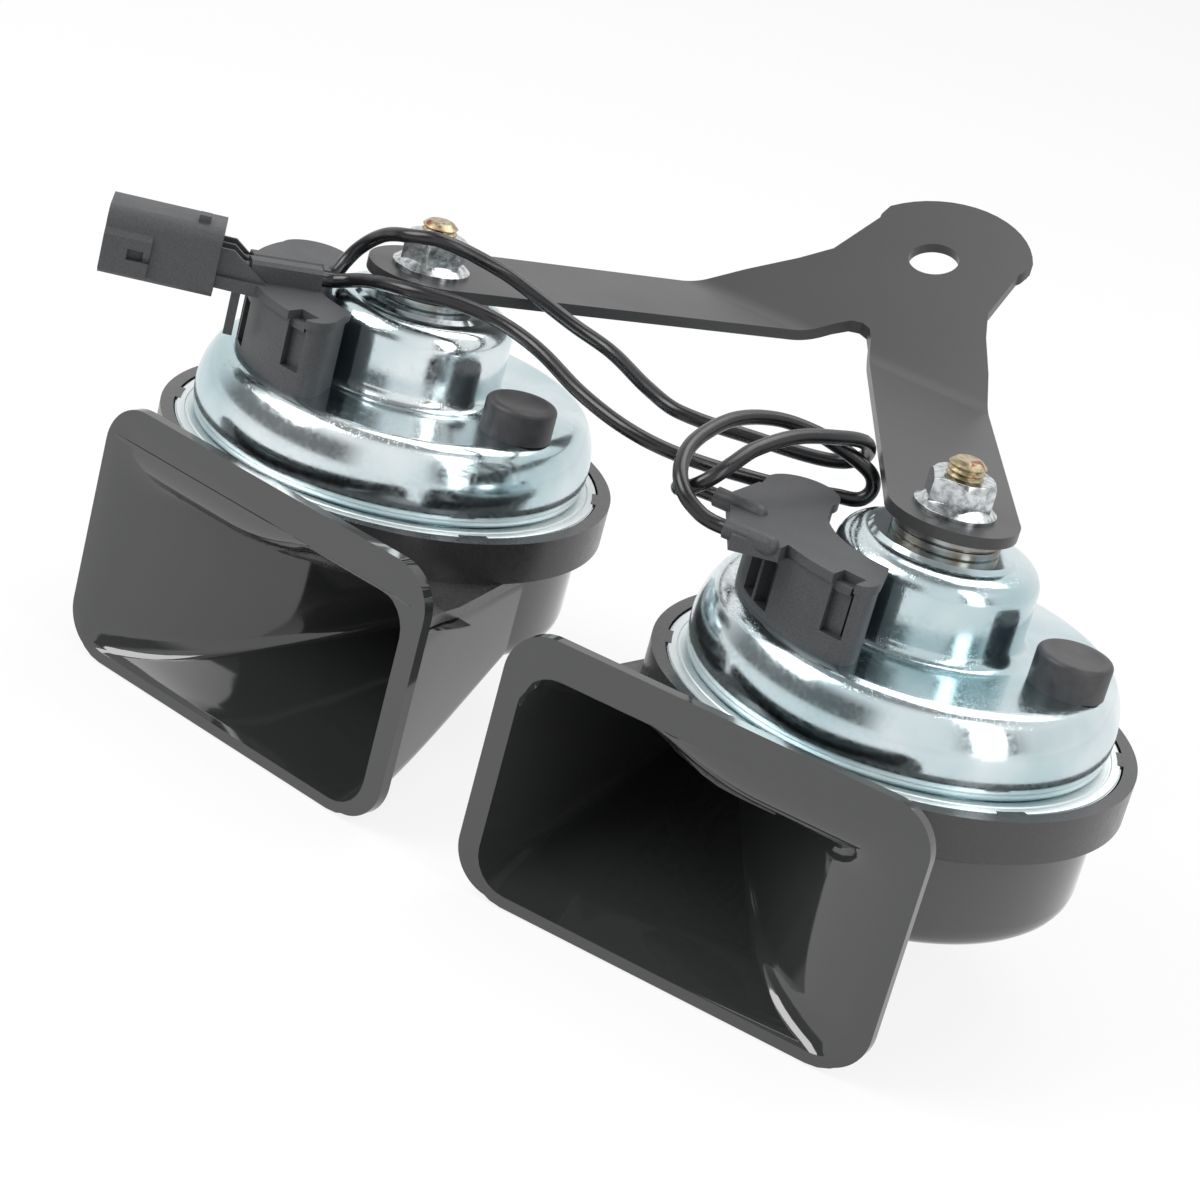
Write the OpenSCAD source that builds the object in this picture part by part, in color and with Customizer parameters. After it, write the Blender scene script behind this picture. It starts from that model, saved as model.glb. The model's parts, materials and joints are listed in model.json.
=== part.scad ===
// Pair of snail horns on one bracket. Millimetres, +Z along the horn axes, the mouths face -Y.
// The origin is the middle of the hub hole, where the bracket is bolted to the vehicle.

/* [Assembly] */
// Distance between the two horn axes
pitch = 136.6; // [134:0.5:150]
// Outward turn of each horn about its own axis
splay = 4.86; // [3:0.1:8]

/* [Bracket] */
// Thickness of the bracket sheet
sheet = 2.5; // [2:0.1:3]
// Distance from the stud line to the bend across the arms
bend_y = 68; // [62:1:72]
// Inside radius of the bend
bend_r = 14; // [6:1:20]
// Angle by which the hub rises
hub_tilt = 25; // [10:1:30]
// Distance from the bend to the hub hole, along the sheet
hub_reach = 41; // [39:0.5:48]
// Diameter of the hub hole
hub_bore = 12; // [8:0.5:12.5]
// Radius of the hub corners about the hole
hub_r = 23; // [21:0.5:26]
// Width of the hub
hub_w = 40; // [36:1:44]
// Width of each arm at its stud
arm_w = 28; // [24:1:30]

/* [Trumpet] */
// Thickness of the rim wall
rim_wall = 3; // [2.5:0.1:4]
// Height of the rim
rim_h = 9.5; // [8.5:0.5:11]
// How far the spiral body stands in from the rim
rim_step = 4.5; // [3.5:0.5:5]
// Depth of the body below the rim top
body_depth = 33; // [31:1:36]
// Thickness of the moulded walls
wall = 2.5; // [2:0.1:3]
// Half width of the mouth over its lip
mouth_w = 48.3; // [46:0.5:49]
// Half height of the mouth over its lip
mouth_h = 29.5; // [28:0.5:31]
// Sideways shift of the mouth toward the other horn
mouth_x = 14.3; // [13:0.1:16]
// Distance from the horn axis to the mouth
mouth_y = 54; // [53.5:0.5:58]
// Height of the mouth centre below the rim top
mouth_z = 25.5; // [24:0.5:27]
// Thickness of the mouth lip
lip = 2.6; // [2:0.1:3]
// Corner radius of the mouth lip
mouth_r = 10; // [8:0.5:12]
// Radius of the throat hole
throat_r = 6; // [4:0.5:7]

/* [Horn body] */
// Thickness of the cover sheet
skin = 1.2; // [0.8:0.1:1.5]
// Width of the cover flange
flange_w = 5.5; // [5:0.1:6.5]
// Width of the shoulder, from the cup to the foot
shoulder_w = 21.6; // [21:0.2:24]
// Height of the cover shoulder
shoulder_z = 17; // [16:0.5:19]
// Height of the cup top
cup_z = 36.5; // [34:0.5:38]
// Thickness of the diaphragm
dia_t = 0.5; // [0.3:0.05:0.6]
// Radius of the pole core
core_r = 7; // [6:0.25:7.5]
// Outer radius of the coil
coil_r = 17.5; // [15:0.5:18.5]
// Radius of the rubber cap
cap_r = 8; // [7:0.5:8.5]
// Height of the rubber cap
cap_h = 7.5; // [6:0.5:9]
// How far the rubber cap's axis stands in from the foot
cap_in = 9.5; // [9:0.1:10]

/* [Fastening] */
// Diameter of the stud
stud_d = 8; // [6:1:8]
// Height of the washer stack between cup and bracket
washer_h = 4; // [3:0.5:6]
// Outer radius of the washers
washer_r = 11.5; // [9:0.5:12]
// Width of the nut across its flats
nut_af = 13; // [11:0.5:13]
// Height of the nut
nut_h = 7.5; // [6:0.5:8]
// Radius of the nut flange
nut_r = 8.7; // [8:0.1:9]

/* [Plug] */
// How far the plug's front wall stands in from the cover's foot
plug_edge = 4.6; // [4:0.1:6]
// Corner radius at the end of the plug
plug_end_r = 4; // [2:0.5:5]
// Height of the plug
plug_h = 17.4; // [16.5:0.1:19]
// Thickness of the plug's top plate
plate_t = 2; // [1.5:0.1:2.5]
// Width of a terminal blade
blade_w = 6.3; // [4.8:0.1:6.3]
// Thickness of a terminal blade
blade_t = 0.8; // [0.6:0.1:1]

/* [Wiring] */
// Diameter of the wires
wire_d = 3.2; // [2.4:0.1:3.4]
// Length of the connector
conn_l = 25; // [24:0.5:30]
// Width of the connector
conn_w = 15; // [14:0.5:18]
// Height of the connector
conn_h = 15; // [14:0.5:17]

/* [Hidden] */
$fn = 64;
eps = 0.01;

// Radii about each horn axis: the coil sets the cup, the cup the cover, and the cover the rim
bob_lip = 1;
coil_gap = 1.8;
flange_gap = 0.4;
cup_r = coil_r + bob_lip + coil_gap + skin;
foot_r = cup_r + shoulder_w;
flange_r = foot_r + flange_w;
rim_r = flange_r + flange_gap + rim_wall;
body_r = rim_r - rim_step;
cap_x = foot_r - cap_in;
plug_r = foot_r - plug_edge;

// Heights above the rim top, along each horn axis
flange_z = -0.4;
dia_z = flange_z - skin;
ring_t = 1;
ring_z = dia_z - dia_t;
seat_z = ring_z - ring_t;
tab_z = cup_z + washer_h;
bracket_top = tab_z + sheet;
nut_top = bracket_top + nut_h;
stud_top = nut_top + 3.5;
stud_clear = 0.25;

// Middle plane of the sheet, and the hub hole on it
mid_z = tab_z + sheet / 2;
bend_mid = bend_r + sheet / 2;
bend_l = bend_mid * tan(hub_tilt / 2);
hub_y = bend_y + hub_reach * cos(hub_tilt);
hub_z = mid_z + hub_reach * sin(hub_tilt);

function polar(r, a) = [r * cos(a), r * sin(a)];
function arc(c, r, a0, a1, n) = [for (i = [0 : n]) c + polar(r, a0 + (a1 - a0) * i / n)];
function mix(a, b, t) = a + (b - a) * t;

// Assembly frame: the stud line is X through the two horn axes, at the height of the rim tops
module place() {
  translate([0, -hub_y, -hub_z]) children();
}

module horn(side) {
  place() translate([side * pitch / 2, 0, 0]) rotate([0, 0, side * splay]) children();
}

module trumpet_side(side) {
  horn(side) mirror([side < 0 ? 1 : 0, 0, 0]) children();
}

// Bracket: the blank's outline is given along the sheet, and fold() lays it out in plan
pad_x = pitch / 2;
hub_v = bend_y + hub_reach;
arm_a = atan2(hub_v - 22, pad_x);
notch_v = bend_y + 10;
neck_v = hub_v - 8;
arm_half = arm_w / 2;
function fold(p) = [p.x, p.y < bend_y ? p.y : bend_y + (p.y - bend_y) * cos(hub_tilt)];

module half_blank() {
  translate([pad_x, 0]) circle(r = arm_half);
  polygon([for (p = concat(
    [
      [pad_x + arm_half * sin(arm_a), arm_half * cos(arm_a)],
      [hub_w / 2 + 13.5, neck_v - 22],
      [hub_w / 2 + 6, neck_v - 11],
      [hub_w / 2 + 1.5, neck_v - 3]
    ],
    arc([hub_w / 2 - 4, hub_v + 8], 4, -30, 0, 2),
    arc([0, hub_v], hub_r, acos(hub_w / 2 / hub_r), 90, 8),
    [[0, notch_v], [2.5, notch_v - 0.8], [5, notch_v - 4], [pad_x - arm_half * sin(arm_a), -arm_half * cos(arm_a)]]
  )) fold(p)]);
}

module blank() {
  half_blank();
  mirror([1, 0]) half_blank();
}

module hub_frame() {
  translate([0, bend_y, mid_z]) rotate([hub_tilt, 0, 0]) children();
}

// Side view of the sheet: flat under the nuts, one bend, then rising to the hub
rise_l = hub_reach + 2 * hub_r;
function sheet_side(d) = concat(
    [[-2 * arm_w, mid_z + d]],
    arc([bend_y - bend_l, mid_z + bend_mid], bend_mid - d, -90, -90 + hub_tilt, 10),
    [[bend_y + rise_l * cos(hub_tilt) - d * sin(hub_tilt), mid_z + rise_l * sin(hub_tilt) + d * cos(hub_tilt)]]
  );

module bracket_sheet() {
  upper = sheet_side(sheet / 2);
  intersection() {
    translate([0, 0, tab_z - sheet]) linear_extrude(rise_l) blank();
    translate([-pitch, 0, 0]) rotate([90, 0, 90]) linear_extrude(2 * pitch)
      polygon(concat(sheet_side(-sheet / 2), [for (i = [len(upper) - 1 : -1 : 0]) upper[i]]));
  }
  // small lip folded down from the hub's corner, which keeps the bracket from turning
  hub_frame() translate([0, hub_reach, 0]) rotate([0, 0, -35])
    translate([-6.5, hub_r - 1.6 * sheet, -sheet / 2 - 4]) cube([13, sheet, 4 + sheet / 2]);
}

module bracket() {
  color("#1c1c1e") place() difference() {
    bracket_sheet();
    hub_frame() translate([0, hub_reach, 0]) cylinder(d = hub_bore, h = 20, center = true);
    for (s = [-1, 1])
      translate([s * pad_x, 0, tab_z - 5]) cylinder(d = stud_d + 2 * stud_clear, h = 20);
  }
}

// Trumpet: the flare is a loft of rounded rectangles from the spiral's end to the mouth.
// Each row is distance from the axis, left, right, floor, roof and corner radius.
split_z = -rim_h - wall;
chan_in = body_r - wall;
floor_z = -body_depth + wall;
exit_w = 19.5;
mouth_l = -mouth_x - mouth_w + 5;
mouth_rt = -mouth_x + mouth_w - 3.5;
mouth_f = -mouth_z - mouth_h + 1.6;
mouth_t = -mouth_z + mouth_h - 8;
function flare_row(t) = [
    -2 - (mouth_y - 2) * t,
    mix(-chan_in, mouth_l, t),
    mix(-chan_in + exit_w, mouth_rt, 0.55 * t + 0.22 * pow(t, 2) + 0.23 * pow(t, 9)),
    mix(floor_z, mouth_f, t),
    mix(split_z, mouth_t, pow(t, 30)),
    mix(2, mouth_r - 2, pow(t, 4))
  ];
flare_steps = [0, 0.1, 0.2, 0.3, 0.4, 0.5, 0.59, 0.67, 0.74, 0.8, 0.85, 0.89, 0.92, 0.95, 0.975, 1];
flare_n = len(flare_steps) - 1;
corner_n = 6;
// The rim of the lid is cut flat behind the mouth
rim_front = mouth_y - 4.2;

function rounded_ring(y, l, r, f, t, c) = concat(
    [for (i = [0 : corner_n]) let (p = [r - c, t - c] + polar(c, 90 * (1 - i / corner_n))) [p.x, y, p.y]],
    [for (i = [0 : corner_n]) let (p = [r - c, f + c] + polar(c, -90 * i / corner_n)) [p.x, y, p.y]],
    [for (i = [0 : corner_n]) let (p = [l + c, f + c] + polar(c, -90 - 90 * i / corner_n)) [p.x, y, p.y]],
    [for (i = [0 : corner_n]) let (p = [l + c, t - c] + polar(c, 180 - 90 * i / corner_n)) [p.x, y, p.y]]
  );

module loft(rings) {
  m = len(rings[0]);
  n = len(rings);
  polyhedron(
    points = [for (r = rings) each r],
    faces = concat(
      [[for (j = [m - 1 : -1 : 0]) j]],
      [for (i = [0 : n - 2], j = [0 : m - 1]) [i * m + j, i * m + (j + 1) % m, (i + 1) * m + (j + 1) % m]],
      [for (i = [0 : n - 2], j = [0 : m - 1]) [i * m + j, (i + 1) * m + (j + 1) % m, (i + 1) * m + j]],
      [[for (j = [0 : m - 1]) (n - 1) * m + j]]
    )
  );
}

module flare(grow, front, back) {
  rows = [for (t = flare_steps) flare_row(t)];
  first = rows[0];
  last = rows[flare_n];
  ends = concat(
    [[first[0] + back, first[1], first[2], first[3], first[4], first[5]]],
    rows,
    front > 0 ? [[last[0] - front, last[1], last[2], last[3], last[4], last[5]]] : []
  );
  loft([for (w = ends) rounded_ring(w[0], w[1] - grow, w[2] + grow, w[3] - grow, w[4] + grow, w[5] + grow)]);
}

module lip_plate() {
  translate([-mouth_x, -mouth_y + lip, -mouth_z]) rotate([90, 0, 0]) linear_extrude(lip) {
    square([2 * mouth_w, 2 * (mouth_h - mouth_r)], center = true);
    square([2 * (mouth_w - mouth_r), 2 * mouth_h], center = true);
    for (i = [-1, 1], j = [-1, 1])
      translate([i * (mouth_w - mouth_r), j * (mouth_h - mouth_r)]) circle(r = mouth_r);
  }
}

// Spiral wall: its radius grows with each turn from the throat to the outer wall
function coil_at(t) = 8 + 11.5 * t + 3.5 * t * t;
module spiral_wall(start) {
  steps = 56;
  ts = [for (i = [0 : steps]) mix(start, 1.97, i / steps)];
  polygon(concat(
    [for (t = ts) polar(coil_at(t) + 1, 360 * t - 540)],
    [for (i = [steps : -1 : 0]) polar(coil_at(ts[i]) - 1, 360 * ts[i] - 540)]
  ));
}

module body_form(inset) {
  round_r = 6 - inset;
  rotate_extrude() polygon(concat(
    [[0, -body_depth + inset]],
    arc([body_r - 6, -body_depth + 6], round_r, -90, 0, 5),
    [[body_r - inset, split_z + eps * inset], [0, split_z + eps * inset]]
  ));
}

module trumpet_shell(start) {
  difference() {
    union() {
      difference() {
        body_form(0);
        difference() {
          body_form(wall);
          translate([0, 0, floor_z - 1]) linear_extrude(-floor_z + 2) spiral_wall(start);
        }
      }
      difference() {
        flare(wall, 0, 0);
        translate([-2 * rim_r, -rim_front, split_z]) cube([4 * rim_r, 2 * rim_r, rim_r]);
      }
      lip_plate();
    }
    flare(0, 1, 3);
  }
}

// Lid: roof of the spiral and of the flare, and the deep rim with its seat
module flare_roof() {
  rows = [for (t = flare_steps) if (t < 0.91) flare_row(t)];
  last = flare_row(0.92);
  linear_extrude(wall) polygon(concat(
    [[0, rows[0][0]]],
    [for (w = rows) [w[1] - wall, w[0]]],
    [[last[1] - wall, -rim_front], [0, -rim_front]]
  ));
}

module trumpet_lid_form() {
  difference() {
    rotate_extrude($fn = 96) polygon([
      [throat_r, split_z], [body_r, split_z], [body_r, -rim_h], [rim_r, -rim_h], [rim_r, 0],
      [flange_r + flange_gap, 0], [flange_r + flange_gap, seat_z], [foot_r + 0.9, seat_z],
      [foot_r + 0.9, split_z + wall], [throat_r, split_z + wall]
    ]);
    translate([-2 * rim_r, -rim_front - rim_r, split_z - 1]) cube([4 * rim_r, rim_r, rim_r]);
  }
  difference() {
    translate([0, 0, split_z]) flare_roof();
    translate([0, 0, split_z - 1]) cylinder(r = body_r - 1, h = wall + 2, $fn = 96);
  }
  // hooks over the cover flange
  for (a = [20 : 60 : 340])
    rotate([0, 0, a]) rotate_extrude(angle = 8) translate([flange_r - 0.9, flange_z]) square([1.4, -flange_z]);
}

module low_trumpet_shell() {
  color("#111214") trumpet_side(-1) trumpet_shell(0);
}

module high_trumpet_shell() {
  color("#111214") trumpet_side(1) trumpet_shell(0.4);
}

module low_trumpet_lid() {
  color("#17181a") trumpet_side(-1) trumpet_lid_form();
}

module high_trumpet_lid() {
  color("#17181a") trumpet_side(1) trumpet_lid_form();
}

// Steel ring, diaphragm and armature
module base_ring() {
  color("#c9ced2") translate([0, 0, seat_z]) difference() {
    cylinder(r = flange_r, h = ring_t);
    translate([0, 0, -1]) cylinder(r = foot_r, h = ring_t + 2);
  }
}

rivet_r = 2;
wave_r = foot_r - 10.6;
wave_w = 3.5;
module diaphragm() {
  up = 0.8;
  color("#9aa0a6") rotate_extrude($fn = 96) polygon([
    [rivet_r, ring_z], [wave_r - wave_w, ring_z], [wave_r - wave_w + 1.5, ring_z + up],
    [wave_r + wave_w - 1.5, ring_z + up], [wave_r + wave_w, ring_z], [flange_r, ring_z],
    [flange_r, ring_z + dia_t], [wave_r + wave_w - 0.2, ring_z + dia_t],
    [wave_r + wave_w - 1.7, ring_z + up + dia_t], [wave_r - wave_w + 1.7, ring_z + up + dia_t],
    [wave_r - wave_w + 0.2, ring_z + dia_t], [rivet_r, ring_z + dia_t]
  ]);
}

core_z = 14;
air_gap = 0.8;
collar_z = dia_z + 9.8;
collar_r = core_r + 3;
plate_r = 13;
arm_t = 3;
core_gap = 0.2;
module armature() {
  color("#8f9498") rotate_extrude() polygon([
    [0, ring_z - 1], [2 * rivet_r, ring_z - 1], [2 * rivet_r, ring_z], [rivet_r, ring_z], [rivet_r, dia_z],
    [plate_r, dia_z], [plate_r, dia_z + arm_t], [collar_r, dia_z + arm_t], [collar_r, collar_z],
    [core_r - 2 * core_gap, collar_z], [core_r - 2 * core_gap, core_z - air_gap], [0, core_z - air_gap]
  ]);
}

// Pole core with its threaded end, bobbin and coil
core_top = cup_z - skin;
core_flange = 3;
core_flange_r = 14;
stud_tip = 1;
module core_stud() {
  color("#d8c690") rotate_extrude() polygon([
    [0, core_z], [core_r, core_z], [core_r, core_top - core_flange], [core_flange_r, core_top - core_flange],
    [core_flange_r, core_top], [stud_d / 2, core_top], [stud_d / 2, stud_top - stud_tip],
    [stud_d / 2 - stud_tip, stud_top], [0, stud_top]
  ]);
}

bob_t = 1.2;
bob_z = core_z - 1;
bob_top = core_top - core_flange;
bob_r = core_r + core_gap;
module bobbin() {
  color("#d9d4c4") rotate_extrude() polygon([
    [bob_r, bob_z], [coil_r + bob_lip, bob_z], [coil_r + bob_lip, bob_z + bob_t], [bob_r + bob_t, bob_z + bob_t],
    [bob_r + bob_t, bob_top - bob_t], [coil_r + bob_lip, bob_top - bob_t], [coil_r + bob_lip, bob_top],
    [bob_r, bob_top]
  ]);
}

module coil() {
  color("#b5652d") rotate_extrude() translate([bob_r + bob_t, bob_z + bob_t])
    square([coil_r - bob_r - bob_t, bob_top - bob_z - 2 * bob_t]);
}

// Cover: one profile of arcs that run into each other, drawn again one sheet thickness inside
side_c = [foot_r - 15.6, 6.2];
side_r = 17.9;
soft_r = 4.4;
top_r = 5;
rest_r = 3;
disc_r = core_flange_r + 1;
disc_h = 0.9;
flat_z = shoulder_z + 0.4;
soft_z = flat_z - soft_r;
soft_a = asin((soft_z - side_c.y) / (side_r - soft_r));
soft_x = side_c.x + (side_r - soft_r) * cos(soft_a);
function cover_path(d) = concat(
    [[flange_r, flange_z - d], [foot_r + (d > 0 ? -d : 0), flange_z - d]],
    arc(side_c, side_r - d, -18, soft_a, 10),
    arc([soft_x, soft_z], soft_r - d, soft_a + 8, 90, 6),
    arc([cup_r + rest_r, flat_z + rest_r], rest_r + d, 270, 180, 6),
    arc([cup_r - top_r, cup_z - disc_h - top_r], top_r - d, 0, 90, 8),
    [[disc_r + 1, cup_z - disc_h - d], [disc_r, cup_z - d], [stud_d / 2 + stud_clear, cup_z - d]]
  );

block_a = 231;
boss_d = 6;
boss_w = 19;
plug_wall = 3.5;
block_c = plug_r - plug_wall - boss_d / 2;
module cover() {
  outer = cover_path(0);
  inner = cover_path(skin);
  color("#c8d3d8") difference() {
    rotate_extrude($fn = 128) polygon(concat(outer, [for (i = [len(inner) - 1 : -1 : 0]) inner[i]]));
    // window for the terminal block
    rotate([0, 0, block_a]) translate([block_c - boss_d / 2 - 0.2, -boss_w / 2 - 0.2, shoulder_z - 5])
      cube([boss_d + 0.4, boss_w + 0.4, 10]);
    translate([cap_x, 0, shoulder_z - 5]) cylinder(r = screw_r + 0.2, h = 10, $fn = 32);
  }
}

// Contact breaker under the shoulder
under_z = flat_z - skin;
leaf_t = 0.4;
leaf_z = collar_z + air_gap;
leaf_gap = 1.5;
leaf2_z = leaf_z + leaf_t + leaf_gap;
pile_x0 = cap_x - 5.6;
pile_x1 = cap_x + 3.9;
pile_w = 10;
screw_r = 2.5;
module contact_block() {
  color("#3a2a1c") difference() {
    translate([pile_x0, -pile_w / 2, leaf_z - 2.5]) cube([pile_x1 - pile_x0, pile_w, under_z - leaf_z + 2.5]);
    leaves();
    translate([cap_x, 0, leaf2_z + leaf_t]) cylinder(r = screw_r + 0.1, h = 20, $fn = 32);
  }
}

module leaves() {
  translate([8, -3, leaf_z]) cube([pile_x1 - 9, 6, leaf_t]);
  translate([20, -3, leaf2_z]) cube([pile_x1 - 21, 6, leaf_t]);
}

module contact_blades() {
  color("#c79a4b") {
    leaves();
    translate([22.5, 0, leaf_z + leaf_t]) cylinder(r = 1.6, h = leaf_gap, $fn = 24);
  }
}

screw_top = shoulder_z + 4.6;
module adjuster_screw() {
  color("#b9bec2") difference() {
    union() {
      translate([cap_x, 0, leaf2_z + leaf_t]) cylinder(r = screw_r, h = screw_top - leaf2_z - leaf_t, $fn = 32);
      translate([cap_x, 0, flat_z]) cylinder(r = 4.2, h = screw_top - flat_z, $fn = 32);
    }
    translate([cap_x - 5, -0.5, screw_top - 1]) cube([10, 1, 3]);
  }
}

module adjuster_cap() {
  color("#141414") translate([cap_x, 0, flat_z]) rotate_extrude($fn = 48) polygon([
    [cap_r - 2, 0], [cap_r, 0], [cap_r, cap_h - 0.8], [cap_r - 0.8, cap_h], [0, cap_h],
    [0, cap_h - 2], [cap_r - 2, cap_h - 2]
  ]);
}

// Terminal block, its two blades, and the plug over them
blade_at = 5;
blade_top = shoulder_z + 13;
block_z = shoulder_z - 9;
module blade_slots(extra) {
  rotate([0, 0, block_a]) for (s = [-1, 1])
    translate([block_c - blade_t / 2 - extra, s * blade_at - blade_w / 2 - extra, block_z + 1])
      cube([blade_t + 2 * extra, blade_w + 2 * extra, blade_top - block_z - 1 + 2 * extra]);
}

module terminal_block() {
  color("#2a2a2c") difference() {
    rotate([0, 0, block_a]) {
      translate([block_c - 4.6, -11, block_z]) cube([9.2, 22, under_z - block_z]);
      translate([block_c - boss_d / 2, -boss_w / 2, under_z - 1]) cube([boss_d, boss_w, skin + 3]);
    }
    blade_slots(0);
  }
}

module terminal_blades() {
  color("#c9a55a") blade_slots(0);
}

// Plug outline about the horn axis: an arc from the lobe to the rounded end, round the cup
plug_z = flat_z;
plug_top = plug_z + plug_h;
plug_in = cup_r + 3.4;
lobe_a = 184;
lobe_r = (plug_r - plug_in) / 2 + 0.4;
end_a = 271;
end_n = 32;
end_c = polar(plug_r - plug_end_r, end_a);
module plug_plan(grow) {
  far = 2 * plug_r;
  intersection() {
    difference() {
      circle(r = plug_r + grow, $fn = 96);
      circle(r = plug_in - grow, $fn = 96);
    }
    polygon(concat(
      [[0, 0], polar(far, lobe_a), polar(far, 225), polar(far, end_a)],
      arc(end_c, plug_end_r + grow, end_a, 360 + end_n, 8),
      [end_c + polar(plug_end_r + grow, end_n) + polar(plug_r - plug_in, end_n + 90)]
    ));
  }
  translate(polar((plug_r + plug_in) / 2, lobe_a)) circle(r = lobe_r + grow, $fn = 32);
}

module plug_body() {
  difference() {
    union() {
      translate([0, 0, plug_z]) linear_extrude(plug_h - plate_t) plug_plan(0);
      translate([0, 0, plug_top - plate_t]) linear_extrude(plate_t) plug_plan(0.8);
    }
    // pocket over the boss of the terminal block, and slots for the blades
    rotate([0, 0, block_a]) translate([block_c - boss_d / 2 - 0.4, -boss_w / 2 - 0.4, plug_z - 1])
      cube([boss_d + 0.8, boss_w + 0.8, 4.2]);
    blade_slots(0.2);
    // window in the front wall, with a rib standing in it
    for (a = [224.5, 234])
      rotate([0, 0, a]) translate([plug_r - 3, -2.6, plug_z + 1.6]) cube([6, 5.2, plug_h - 7]);
    // latch opening at the rounded end
    rotate([0, 0, latch_a]) translate([plug_r - 3.5, -latch_w / 2, plug_z + 5]) cube([6, latch_w, plug_h]);
  }
  // latch in its opening, with the bar over it
  rotate([0, 0, latch_a]) translate([plug_r - 3.5, -latch_w / 2, plug_z + 5]) {
    cube([1.6, latch_w - 1.6, plug_h - 8.6]);
    translate([0, 0, plug_h - 8.6]) cube([2.6, latch_w - 1.6, 1.6]);
  }
}
latch_a = 265.5;
latch_w = 6.4;

// A raised tunnel for one wire, round at its far end, along d from p at the top of the plug
ridge_r = wire_d / 2 + 0.5;
ridge_z = plug_top - 0.5;
tunnel_l = 9.5;
module tunnel(p, d) {
  translate([p.x, p.y, ridge_z]) rotate([0, 90, atan2(d.y, d.x)]) {
    cylinder(r = ridge_r, h = tunnel_l, $fn = 24);
    translate([0, 0, tunnel_l]) sphere(r = ridge_r, $fn = 24);
  }
}

high_in1 = [-40.5, -24.5];
high_in2 = [-31.1, -38.4];
high_d1 = [1, 0];
high_d2 = unit([12, 0.8]);
wire_plate = 3.2;
module high_plug_form() {
  difference() {
    union() {
      plug_body();
      // wire end of the plug
      translate([0, 0, plug_top - wire_plate]) linear_extrude(wire_plate) polygon([
        [-39, -8], [-39.5, -21], [-28, -42], [-19, -37.5], [-19, -24], [-27, -12]
      ]);
      tunnel(high_in1, high_d1);
      tunnel(high_in2, high_d2);
    }
    blade_slots(0.2);
  }
}

// The low plug carries the connector: two ridges over the wires, and a tongue with three ribs
low_out1 = [-16, -17.2];
low_out2 = [-13, -20.5];
ridge_d = unit([0.57, 0.82]);
ridge_l = 16;
ridge_h = 4.6;
low_in1 = low_out1 - ridge_l * ridge_d;
low_in2 = low_out2 - ridge_l * ridge_d;
module ridge(p) {
  half = wire_d / 2 + 0.7;
  translate([p.x, p.y, plug_top - eps]) rotate([0, 0, atan2(ridge_d.y, ridge_d.x)]) rotate([90, 0, 90])
    linear_extrude(ridge_l) polygon([
      [-half, 0], [half, 0], [half, ridge_h - 0.8], [half - 0.8, ridge_h],
      [0.8 - half, ridge_h], [-half, ridge_h - 0.8]
    ]);
}

module low_plug_form() {
  plug_body();
  ridge(low_in1);
  ridge(low_in2);
}

tongue_y = 1.5;
tongue_w = 12;
tongue_t = 2.8;
rib_t = 0.8;
rib_h = 6;
rib_gap = 4.4;
module tongue() {
  top = plug_top - conn_at.z;
  translate([0, tongue_y, top - tongue_t]) cube([12, tongue_w, tongue_t]);
  for (i = [0 : 2])
    translate([0, tongue_y + 1 + rib_gap * i + rib_t, top - eps]) rotate([90, 0, 0]) linear_extrude(rib_t)
      polygon([[0, 0], [0, rib_h], [2.8, rib_h], [i == 0 ? 9.4 : 6.2, i == 0 ? 1.2 : 3.4], [i == 0 ? 11 : 6.2, 0]]);
  // latch strip that hangs beside the plug
  translate([4, tongue_y + 0.7, top - tongue_t - 10]) cube([2, 1.5, 10 + eps]);
}

module washers() {
  color("#7a5a44") translate([0, 0, cup_z]) difference() {
    cylinder(r = washer_r, h = washer_h);
    translate([0, 0, -1]) cylinder(r = stud_d / 2 + stud_clear, h = washer_h + 2);
  }
}

module nut() {
  color("#d5dadd") translate([0, 0, bracket_top]) difference() {
    union() {
      rotate_extrude() polygon([[0, 0], [nut_r, 0], [nut_r, 0.8], [nut_af / 2, 2.4], [0, 2.4]]);
      intersection() {
        cylinder(d = nut_af / cos(30), h = nut_h, $fn = 6);
        rotate_extrude() polygon([
          [0, 0], [nut_af, 0], [nut_af / 2 + 0.9, nut_h - 0.8], [nut_af / 2 - 0.1, nut_h], [0, nut_h]
        ]);
      }
    }
    translate([0, 0, -1]) cylinder(r = stud_d / 2, h = nut_h + 2);
  }
}

// Connector beside the low horn's plug
conn_a = 36.9;
conn_out = 27;
conn_at = [-pitch / 2 - conn_out, -39.9, 30];
conn_wall = 2;
conn_deep = 13;
module conn_frame() {
  place() translate(conn_at) rotate([0, 0, conn_a]) children();
}

conn_r = 3.4;
module conn_section() {
  polygon(concat(
    [[1, 0], [conn_w - 1, 0], [conn_w, 1]],
    arc([conn_w - conn_r, conn_h - conn_r], conn_r, 0, 90, 6),
    arc([conn_r, conn_h - conn_r], conn_r, 90, 180, 6),
    [[0, 1]]
  ));
}

module connector() {
  color("#242527") conn_frame() difference() {
    union() {
      translate([-conn_l, 0, 0]) rotate([90, 0, 90]) linear_extrude(conn_l) conn_section();
      // lug on the top, and the block low on the side that locks the mating half
      translate([-6, 4, conn_h - 1]) cube([2.6, 3, 2.6]);
      translate([-conn_l, -1.2, 1.2]) rotate([90, 0, 90]) linear_extrude(10.5)
        polygon([[0, 0], [2, 0], [2, 9.4], [1.2, 9.4], [0, 8.2]]);
    }
    translate([-conn_l + 5.6, -2, 4.6]) cube([3.4, 2.6, 2.4]);
    translate([-conn_l + 8.2, -2, 4.6]) cube([5, 1.8, 1.2]);
    translate([-conn_l - 1, conn_wall, conn_wall]) cube([conn_deep + 1, conn_w - 2 * conn_wall, conn_h - 2 * conn_wall]);
    pins();
  }
}

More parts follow.
